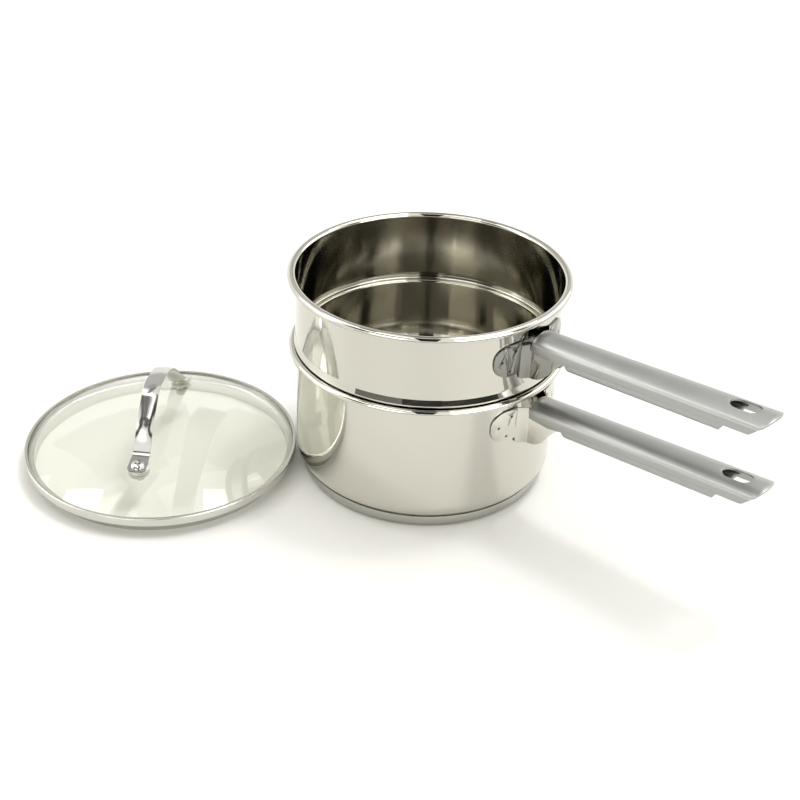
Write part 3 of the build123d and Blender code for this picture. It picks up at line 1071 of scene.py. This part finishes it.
        # The bracket's colour is darkened as painted shade in the gap under its edge; on the insert the colour itself
        # is a painted dark reflection.
        bright = SteelFinish(f"{self.pan}_bracket_polish_and_painted_shade", self.bracket_tone_with_painted_reflection, 0.09, 0.05, wave=0.1, turn=self.turn,
                             marks=tuple(self.welds(-self.weld_depth)), mark_radius=self.weld_mark,
                             painted_crevice_shade_radius=self.bracket_face - self.bracket_sheet / 2)
        pieces = (("handle", self.trough(), satin, "handle_steel"), ("handle_tray", self.tray(), under, "tray_steel"),
                  ("bracket", self.bracket(), bright, "bracket_steel"))
        for name, mesh, finish, slot in pieces:
            Piece(f"{self.pan}_{name}_form", mesh, finish, self.pan, f"{self.pan}_{name}", slot).place()


# Lid

@dataclass
class Lid:
    """The domed glass in its steel rim, with the strap and the fasteners that hold it."""

    place: Flat = (-183.0 * MM, -11.2 * MM)
    turn: float = math.radians(84.7)
    rim_sheet: float = 0.6 * MM
    rim_radius: float = 94.1 * MM
    rim_top: float = 13.8 * MM
    rim_fold: float = 0.8 * MM
    rim_lap: float = 1.6 * MM
    shelf_gap: float = 0.3 * MM
    skirt_radius: float = 87.1 * MM
    sphere: float = 198.0 * MM
    thickness: float = 4.0 * MM
    glass_gap: float = 0.15 * MM
    glass_edge: float = 0.6 * MM
    hole: float = 3.0 * MM
    foot_place: float = 56.2 * MM
    strap_sheet: float = 1.2 * MM
    strap_width: float = 11.4 * MM
    foot_width: float = 13.2 * MM
    foot_inner: float = 9.5 * MM
    foot_outer: float = 6.5 * MM
    foot_round: float = 3.0 * MM
    foot_corner: float = 0.97
    foot_bend: float = 7.0 * MM
    strap_rise: float = 29.85 * MM
    top_half: float = 14.2 * MM
    arch_bend: float = 40.0 * MM
    leg_swell: float = 2.6 * MM
    leg_bend: float = 150.0 * MM
    strap_crown: float = 1.4 * MM
    arch_crown: float = 0.3
    least_crown: float = 0.001
    neck: float = 5.5 * MM
    neck_blend: float = 9.0 * MM
    strap_step: float = 1.5 * MM
    strap_edge_round: float = 0.25 * MM
    rim_edge_round: float = 0.12 * MM
    shank: float = 2.0 * MM
    head: float = 4.2 * MM
    head_rise: float = 1.9 * MM
    head_edge: float = 0.7 * MM
    head_round: float = 0.25 * MM
    recess_depth: float = 1.3 * MM
    recess_over: float = 0.5 * MM
    recess_width: float = 1.1 * MM
    recess_reach: float = 2.5 * MM
    recess_taper: float = 0.45
    recess_turn: float = math.radians(20)
    shank_short: float = 0.3 * MM
    washer: Flat = (7.0 * MM, 0.8 * MM)
    washer_hole: float = 2.3 * MM
    ring_ease: float = 0.22
    gasket: Flat = (7.3 * MM, 0.8 * MM)
    lower_washer: Flat = (6.2 * MM, 1.0 * MM)
    nut_across: float = 8.0 * MM
    nut_height: float = 3.5 * MM
    nut_dome: float = 3.0 * MM
    nut_dome_round: float = 2.7 * MM
    nut_round: float = 0.35 * MM
    nut_step: float = 0.4 * MM
    nut_sink: float = 0.2 * MM
    foot_tilt: float = field(init=False)
    glass_radius: float = field(init=False)
    crown: float = field(init=False)
    edge_radius: float = field(init=False)
    shelf: float = field(init=False)
    strap_top: float = field(init=False)
    nut_seat: float = field(init=False)

    def __post_init__(self) -> None:
        """Works out the sizes that follow from the others."""
        self.foot_tilt = math.asin(self.foot_place / self.sphere)
        self.glass_radius = self.rim_radius - self.rim_sheet - self.glass_gap
        self.crown = self.rim_top - self.rim_sheet - self.glass_gap + self.sag(self.glass_radius - self.rim_lap)
        self.strap_top = self.crown + self.strap_rise
        under = self.sphere - self.thickness
        self.edge_radius = self.glass_radius * under / self.sphere
        edge_low = self.crown - self.sphere + math.sqrt(under ** 2 - self.edge_radius ** 2)
        self.shelf = edge_low - self.shelf_gap - self.rim_sheet
        sag = under - math.sqrt(under ** 2 - self.gasket[0] ** 2)
        self.nut_seat = self.thickness + sag + self.gasket[1] + self.lower_washer[1]

    def sag(self, radius: float) -> float:
        """Gives how far the glass's upper face lies below its crown at a radius."""
        return self.sphere - math.sqrt(self.sphere ** 2 - radius ** 2)

    def set_down(self, mesh: BMesh) -> BMesh:
        """Moves a mesh drawn about Z to where the lid lies."""
        return move(mesh, Matrix.Translation((*self.place, 0)) @ Matrix.Rotation(self.turn, 4, "Z"))

    def on_foot(self, mesh: BMesh, side: int, along: float = 0.0) -> BMesh:
        """Moves a mesh drawn about Z to one foot of the strap, square to the glass.

        Args:
            mesh: The mesh.
            side: -1 for the near foot and 1 for the far one.
            along: How far it lies above the glass.

        Returns:
            The same mesh, not yet set down with the lid.
        """
        foot = Matrix.Translation((side * self.foot_place, 0, self.crown - self.sag(self.foot_place)))
        return move(mesh, foot @ Matrix.Rotation(side * self.foot_tilt, 4, "Y") @ Matrix.Translation((0, 0, along)))

    def dome(self, sphere: float, top: float, reach: float) -> list[Flat]:
        """Gives the corners whose rounding is an arc from the axis out to a radius.

        Args:
            sphere: The arc's radius.
            top: Its height on the axis.
            reach: How far out it goes.

        Returns:
            The arc's start, the corner between its tangents and its end.
        """
        angle = math.asin(reach / sphere)
        return [(0, top), (sphere * math.tan(angle / 2), top), (reach, top - sphere * (1 - math.cos(angle)))]

    def glass(self) -> BMesh:
        """Spins the domed glass with its ground edge, and drills it for the strap.

        Returns:
            The glass.
        """
        under = self.sphere - self.thickness
        upper = self.dome(self.sphere, self.crown, self.glass_radius)
        lower = self.dome(under, self.crown - self.thickness, self.edge_radius)
        mesh = profile([*upper, *reversed(lower)], [self.sphere, self.glass_edge, self.glass_edge, under])
        spin_round(mesh)
        for side in (-1, 1):
            drill = bmesh.new()
            bmesh.ops.create_cone(drill, cap_ends=True, segments=32, radius1=self.hole, radius2=self.hole,
                                  depth=4 * self.thickness)
            carve(mesh, self.on_foot(drill, side))
        return self.set_down(mesh)

    def rim(self) -> BMesh:
        """Spins the folded rim with its skirt.

        Returns:
            The rim.
        """
        lap = self.glass_radius - self.rim_lap
        mesh = profile([(lap, self.rim_top), (self.rim_radius, self.rim_top), (self.rim_radius, self.shelf),
                        (self.skirt_radius, self.shelf), (self.skirt_radius, 0)], [self.rim_fold] * 3)
        spin_round(mesh)
        thicken(mesh, self.rim_sheet, (self.skirt_radius, 0, self.shelf / 2), (-1, 0, 0))
        return self.set_down(soften(mesh, self.rim_edge_round))

    def strap(self) -> BMesh:
        """Sweeps the strap's section from one foot over the arch to the other.

        Returns:
            The strap with its arch crowned across its width and its feet flat.
        """
        tilt = self.foot_tilt
        stack = self.gasket[1] + self.washer[1] + self.strap_sheet
        foot = Vector((self.foot_place + stack * math.sin(tilt),
                       self.crown - self.sag(self.foot_place) + stack * math.cos(tilt)))
        slope = Vector((math.cos(tilt), -math.sin(tilt)))
        inner, outer = foot - slope * self.foot_inner, foot + slope * self.foot_outer
        top = Vector((self.top_half, self.strap_top))
        leg = (inner - top).normalized()
        knee = (inner + top) / 2 + Vector((-leg.y, leg.x)) * self.leg_swell
        half = [tuple(outer), tuple(inner), tuple(knee), tuple(top)]
        bends = [self.foot_bend, self.leg_bend, self.arch_bend]
        path = profile([(-x, z) for x, z in half] + [(x, z) for x, z in reversed(half)], bends + bends[::-1])
        line = sorted((vert.co.copy() for vert in path.verts), key=lambda point: point.x)
        path.free()
        line = self._even(line)
        narrow = self.strap_width / 2
        slant = 2 * math.atan(self.strap_crown / narrow)
        bow = (narrow ** 2 + self.strap_crown ** 2) / (2 * self.strap_crown)
        mesh = wire([(0, -narrow, 0), (0, 0, narrow * math.tan(slant)), (0, narrow, 0)], [bow])
        chain, before = mesh.edges[:], None
        for index, point in enumerate(line):
            ahead, behind = line[min(index + 1, len(line) - 1)], line[max(index - 1, 0)]
            along = (ahead - behind).normalized()
            across = Vector((0, 1, 0))
            axes = Matrix((along, across, along.cross(across))).transposed().to_4x4()
            share = Matrix.Diagonal((1, self._width_share(abs(point.x)), self._crown_share(abs(point.x)), 1))
            pose = Matrix.Translation(point) @ axes @ share
            if before is None:
                verts, shift = mesh.verts[:], pose
            else:
                chain, verts = extrude_on(mesh, chain)
                shift = pose @ before.inverted()
            bmesh.ops.transform(mesh, matrix=shift, verts=verts)
            before = pose
        thicken(mesh, self.strap_sheet, (0, 0, self.strap_top), (0, 0, -1))
        return self.set_down(soften(mesh, self.strap_edge_round))

    def _even(self, line: list[Vector]) -> list[Vector]:
        """Adds places on the long runs of a path.

        Args:
            line: The path's places.

        Returns:
            The places, no further apart than the strap's step.
        """
        out = [line[0]]
        for start, stop in zip(line, line[1:]):
            parts = max(1, math.ceil((stop - start).length / self.strap_step))
            out += [start.lerp(stop, index / parts) for index in range(1, parts + 1)]
        return out

    def _width_share(self, reach: float) -> float:
        """Gives the strap's width at a place.

        Args:
            reach: The place's distance from the strap's middle.

        Returns:
            The width as a share of that on the arch, less at the foot's rounded end.
        """
        start = self.foot_place - self.foot_inner * math.cos(self.foot_tilt)
        end = self.foot_place + self.foot_outer * math.cos(self.foot_tilt)
        wide = 1 + (self.foot_width / self.strap_width - 1) * min(1.0, max(0.0, (reach - start) / (end - start)))
        into = max(0.0, reach - (end - self.foot_round)) / self.foot_round
        corner = self.foot_round * (1 - math.sqrt(max(0.0, 1 - min(1.0, into) ** 2)))
        return wide - 2 * corner * self.foot_corner / self.strap_width

    def _crown_share(self, reach: float) -> float:
        """Gives the strap's crown at a place.

        Args:
            reach: The place's distance from the strap's middle.

        Returns:
            The crown as a share of the legs' crown, almost none at the feet.
        """
        inner = self.foot_place - self.foot_inner * math.cos(self.foot_tilt)
        leg = (inner - self.top_half) / math.hypot(inner - self.top_half, self.strap_top - self.crown)
        share = (inner - self.neck * leg - reach) / (self.neck_blend * leg)
        over = min(1.0, reach / (inner - (self.neck + self.neck_blend) * leg))
        return self.least_crown + (self.arch_crown + (1 - self.arch_crown) * over ** 3) * min(1.0, max(0.0, share))

    def screw(self) -> BMesh:
        """Spins the dome headed screw and cuts its cross recess.

        Returns:
            The screw, its seat on the strap.
        """
        seat = self.gasket[1] + self.washer[1] + self.strap_sheet
        reach = self.nut_seat + self.nut_height - self.shank_short
        rise = self.head_rise - self.head_edge
        sphere = (self.head ** 2 + rise ** 2) / (2 * rise)
        mesh = profile([*self.dome(sphere, seat + self.head_rise, self.head), (self.head, seat), (self.shank, seat),
                        (self.shank, -reach), (0, -reach)], [sphere, self.head_round, 0, 0, 0])
        spin_round(mesh, SMALL_ROUND_STEPS)
        low, top = seat + self.head_rise - self.recess_depth, seat + self.head_rise + self.recess_over
        half, wide, narrow = self.recess_width / 2, self.recess_reach, self.recess_reach * self.recess_taper
        for turn in (0, math.pi / 2):
            blade = prism([(-wide, -half, top), (wide, -half, top), (narrow, -half, low), (-narrow, -half, low)],
                          [0] * 4, (0, 2 * half, 0))
            carve(mesh, move(blade, Matrix.Rotation(turn + self.recess_turn, 4, "Z")))
        return mesh

    def ring(self, size: Flat) -> BMesh:
        """Spins a flat ring with its edges eased.

        Args:
            size: Its radius and thickness.

        Returns:
            The ring, drawn on its underside.
        """
        hole, (radius, thick) = self.washer_hole, size
        mesh = wire([(hole, 0, 0), (radius, 0, 0), (radius, 0, thick), (hole, 0, thick)], [0, 0, 0, 0], closed=True)
        return soften(spin_round(mesh, SMALL_ROUND_STEPS * 2), self.ring_ease * thick, 3)

    def nut(self) -> BMesh:
        """Makes the hexagon nut with its domed cap below.

        Returns:
            The nut, drawn down from its seat.
        """
        mesh = bmesh.new()
        corner = self.nut_across / math.sqrt(3)
        bmesh.ops.create_cone(mesh, cap_ends=True, segments=6, radius1=corner, radius2=corner, depth=self.nut_height)
        bmesh.ops.translate(mesh, vec=(0, 0, -self.nut_height / 2), verts=mesh.verts[:])
        soften(mesh, self.nut_round, 3)
        radius = self.nut_across / 2 - self.nut_step
        low, high = -self.nut_height - self.nut_dome, self.nut_sink - self.nut_height
        dome = profile([(0, low), (radius, low), (radius, high), (0, high)], [self.nut_dome_round, 0])
        carve(mesh, spin_round(dome, SMALL_ROUND_STEPS), Carving.JOINED)
        return mesh

    def build(self) -> None:
        """Places the lid and everything on it."""
        around = (*self.place, 0.0)
        rim_finish = SteelFinish("rim_satin", (0.6, 0.595, 0.555), 0.17, 0.06, Grain.TURNED, 0.02, 1500.0, around)
        strap_finish = SteelFinish("strap_polish", (0.56, 0.556, 0.54), 0.12, 0.05, Grain.ALONG, 0.012, 700.0, around,
                                   self.turn)
        small_finish = SteelFinish("fastener_polish", (0.6, 0.595, 0.565), 0.12, 0.06)
        silicone = RubberFinish()
        Piece("lid_dome", self.glass(), GlassFinish(), "lid", "lid_glass", "lid_glass").place()
        Piece("lid_rim_band", self.rim(), rim_finish, "lid", "lid_rim", "rim_steel").place()
        Piece("lid_strap_handle", self.strap(), strap_finish, "lid", "lid_strap", "strap_steel").place()
        for name, side in (("near", -1), ("far", 1)):
            stack = (("strap_screw", self.screw(), 0.0, small_finish, "fastener_steel"),
                     ("strap_washer", self.ring(self.washer), self.gasket[1], small_finish, "fastener_steel"),
                     ("upper_gasket", self.ring(self.gasket), 0.0, silicone, "gasket_rubber"),
                     ("lower_gasket", self.ring(self.gasket), self.lower_washer[1] - self.nut_seat, silicone,
                      "gasket_rubber"),
                     ("lower_washer", self.ring(self.lower_washer), -self.nut_seat, small_finish, "fastener_steel"),
                     ("cap_nut", self.nut(), -self.nut_seat, small_finish, "fastener_steel"))
            for piece, mesh, along, finish, slot in stack:
                mesh = self.set_down(self.on_foot(mesh, side, along))
                Piece(f"lid_{piece}_{name}", mesh, finish, "lid", f"{piece}_{name}", slot).place()


# Studio

@dataclass(frozen=True)
class Card:
    """A part of the room, darker or lighter than the rest, for the steel to reflect.

    It faces the pans from an azimuth, 0 towards the camera and positive towards +X, and an elevation. All its
    angles are in degrees.
    """

    name: str
    azimuth: float
    elevation: float
    width: float
    height: float
    tone: float
    distance: float = 2.3

    def build(self) -> None:
        """Hangs the card in the room, where only the steel and the glass see it."""
        nodes = Nodes(self.name)
        shader = nodes.add("ShaderNodeBsdfPrincipled", Roughness=0.8, Base_Color=(0, 0, 0, 1),
                           Emission_Color=(*WARM, 1), Emission_Strength=self.tone)
        nodes.link(shader, 0, nodes.output, "Surface")
        width, height = (2 * self.distance * math.tan(math.radians(angle) / 2) for angle in (self.width, self.height))
        mesh = bmesh.new()
        bmesh.ops.create_grid(mesh, x_segments=1, y_segments=1, size=0.5)
        move(mesh, Matrix.Rotation(math.radians(self.azimuth), 4, "Z")
             @ Matrix.Rotation(-math.radians(self.elevation), 4, "X") @ Matrix.Translation((0, -self.distance, 0))
             @ Matrix.Rotation(math.pi / 2, 4, "X") @ Matrix.Diagonal((width, height, 1, 1)))
        card = make_object(self.name, mesh, nodes.material)
        card.visible_camera = card.visible_shadow = card.visible_diffuse = False


ROOM = (
    Card("south_dark", 0, 50, 13, 64, 0.0, 2.1),
    Card("north_dark", 181, 56, 8, 62, 0.35, 2.1),
    Card("west_dark", -60, 41, 15, 26, 0.05, 2.1),
    Card("east_dark", 75, 28, 12, 20, 0.05, 2.1),
    Card("strap_low_dark", -37, 56, 26, 13, 0.08, 2.0),
    Card("strap_high_dark", -114, 69, 24, 7, 0.1, 2.0),
    Card("strap_foot_grey", -141, 61, 16, 12, 0.55, 1.95),
    Card("ceiling_bright", -62, 66, 40, 18, 3.0, 2.2),
    Card("east_bright", 116, 25, 44, 26, 3.2),
    Card("east_window", 57, 18, 14, 12, 11.0),
    Card("high_east_bright", 102, 69, 26, 24, 5.5),
    Card("west_bright", -96, 22, 40, 30, 2.6),
    Card("west_window", -88, 19, 12, 12, 11.0, 2.2),
    Card("south_bright", 36, 25, 28, 24, 5.0),
    Card("south_west_bright", -31, 26, 26, 22, 3.2),
    Card("north_west_grey", 207, 43, 36, 40, 0.75, 2.5),
    Card("north_east_grey", 160, 40, 34, 42, 0.8, 2.5),
    Card("table_end_west", -35, 0, 38, 14, 0.2, 0.6),
    Card("table_end_middle", -3, 0, 30, 14, 0.0, 0.61),
    Card("table_end_east", 60, 0, 104, 14, 0.0, 0.62),
)


@dataclass(frozen=True)
class Lamp:
    """A soft ceiling lamp that faces the pans, with its place, its sides and its power in watts."""

    name: str
    place: Point
    size: Flat
    power: float
    seen: bool = True

    def build(self) -> None:
        """Hangs the lamp, which the steel reflects if it is seen."""
        data = bpy.data.lights.new(self.name, "AREA")
        data.shape = "RECTANGLE"
        data.size, data.size_y = self.size
        data.energy = self.power
        lamp = bpy.data.objects.new(self.name, data)
        toward = (-Vector(self.place)).to_track_quat("-Z", "Y")
        lamp.matrix_world = Matrix.Translation(self.place) @ toward.to_matrix().to_4x4()
        lamp.visible_glossy = self.seen
        bpy.context.scene.collection.objects.link(lamp)


LAMPS = (
    Lamp("window_lamp", (-1.77, 0.45, 2.4), (0.6, 0.75), 7.0),
    Lamp("middle_lamp", (0.62, 0.33, 2.4), (0.4, 0.36), 12.0),
    Lamp("room_fill", (0.5, 0.35, 2.4), (1.4, 1.4), 9.0, False),
    Lamp("right_lamp", (1.27, 1.2, 2.4), (0.4, 0.6), 6.0),
)


@dataclass
class Studio:
    """The floor, the soft light and the camera."""

    lens: float = 59.79
    sensor: float = 36.0
    clip: Flat = (0.01, 50.0)
    pitch: float = math.radians(31.7008)
    roll: float = math.radians(2.0627)
    eye: Point = (-0.01702, -0.78586, 0.53663)
    shift_y: float = -0.0084
    room_light: float = 0.93
    room_tone: float = 1.3
    table_radius: float = 6.0
    table_mottle: float = 3.0
    table_tones: tuple[Colour, Colour] = ((0.875, 0.875, 0.85), (0.90, 0.90, 0.88))

    def camera(self) -> None:
        """Places the camera where the photograph was taken."""
        data = bpy.data.cameras.new("view")
        data.lens = self.lens
        data.sensor_width = self.sensor
        data.shift_y = self.shift_y
        data.clip_start, data.clip_end = self.clip
        forward = Vector((0, math.cos(self.pitch), -math.sin(self.pitch)))
        across = Vector((1, 0, 0))
        upward = across.cross(forward)
        right = across * math.cos(self.roll) + upward * math.sin(self.roll)
        above = upward * math.cos(self.roll) - across * math.sin(self.roll)
        camera = bpy.data.objects.new("view", data)
        axes = Matrix((right, above, -forward)).transposed().to_4x4()
        camera.matrix_world = Matrix.Translation(self.eye) @ axes
        bpy.context.scene.collection.objects.link(camera)
        bpy.context.scene.camera = camera

    def floor(self) -> None:
        """Lays the pale table."""
        nodes = Nodes("table_surface")
        shader = nodes.add("ShaderNodeBsdfPrincipled", Roughness=0.6)
        mottle = nodes.noise((nodes.add("ShaderNodeTexCoord"), "Object"), self.table_mottle, 2.0)
        nodes.link(nodes.mix(mottle, *self.table_tones), 0, shader, "Base Color")
        nodes.link(shader, 0, nodes.output, "Surface")
        mesh = bmesh.new()
        bmesh.ops.create_circle(mesh, cap_ends=True, segments=96, radius=self.table_radius)
        floor = make_object("table", mesh, nodes.material)

    def world(self) -> None:
        """Sets the even light of the room."""
        world = bpy.data.worlds.new("room")
        world.use_nodes = True
        tree = world.node_tree
        background = tree.nodes["Background"]
        background.inputs["Color"].default_value = (*WARM, 1)
        path = tree.nodes.new("ShaderNodeLightPath")
        tone = tree.nodes.new("ShaderNodeMapRange")
        tone.inputs["To Min"].default_value = self.room_light
        tone.inputs["To Max"].default_value = self.room_tone
        tree.links.new(path.outputs["Is Glossy Ray"], tone.inputs["Value"])
        tree.links.new(tone.outputs[0], background.inputs["Strength"])
        bpy.context.scene.world = world

    def build(self) -> None:
        """Sets up the view and the light."""
        self.camera()
        self.floor()
        self.world()
        for item in (*LAMPS, *ROOM):
            item.build()
        bpy.context.scene.view_settings.view_transform = "Standard"


def main() -> None:
    """Builds the pans, their handles, the lid and the studio."""
    logging.basicConfig(level=logging.INFO, format="%(name)s %(message)s")
    Saucepan().build()
    Insert().build()
    Handle("saucepan", 88.9 * MM, math.radians(-40), 5.4 * MM, 79.1 * MM, MIRROR).build()
    # The insert's bracket gets the darker colour, a painted dark reflection of the same steel.
    Handle("insert", 89.0 * MM, math.radians(-41), 3.8 * MM, 127.8 * MM, PAINTED_DARK_REFLECTION).build()
    Lid().build()
    Studio().build()


if __name__ == "__main__":
    main()
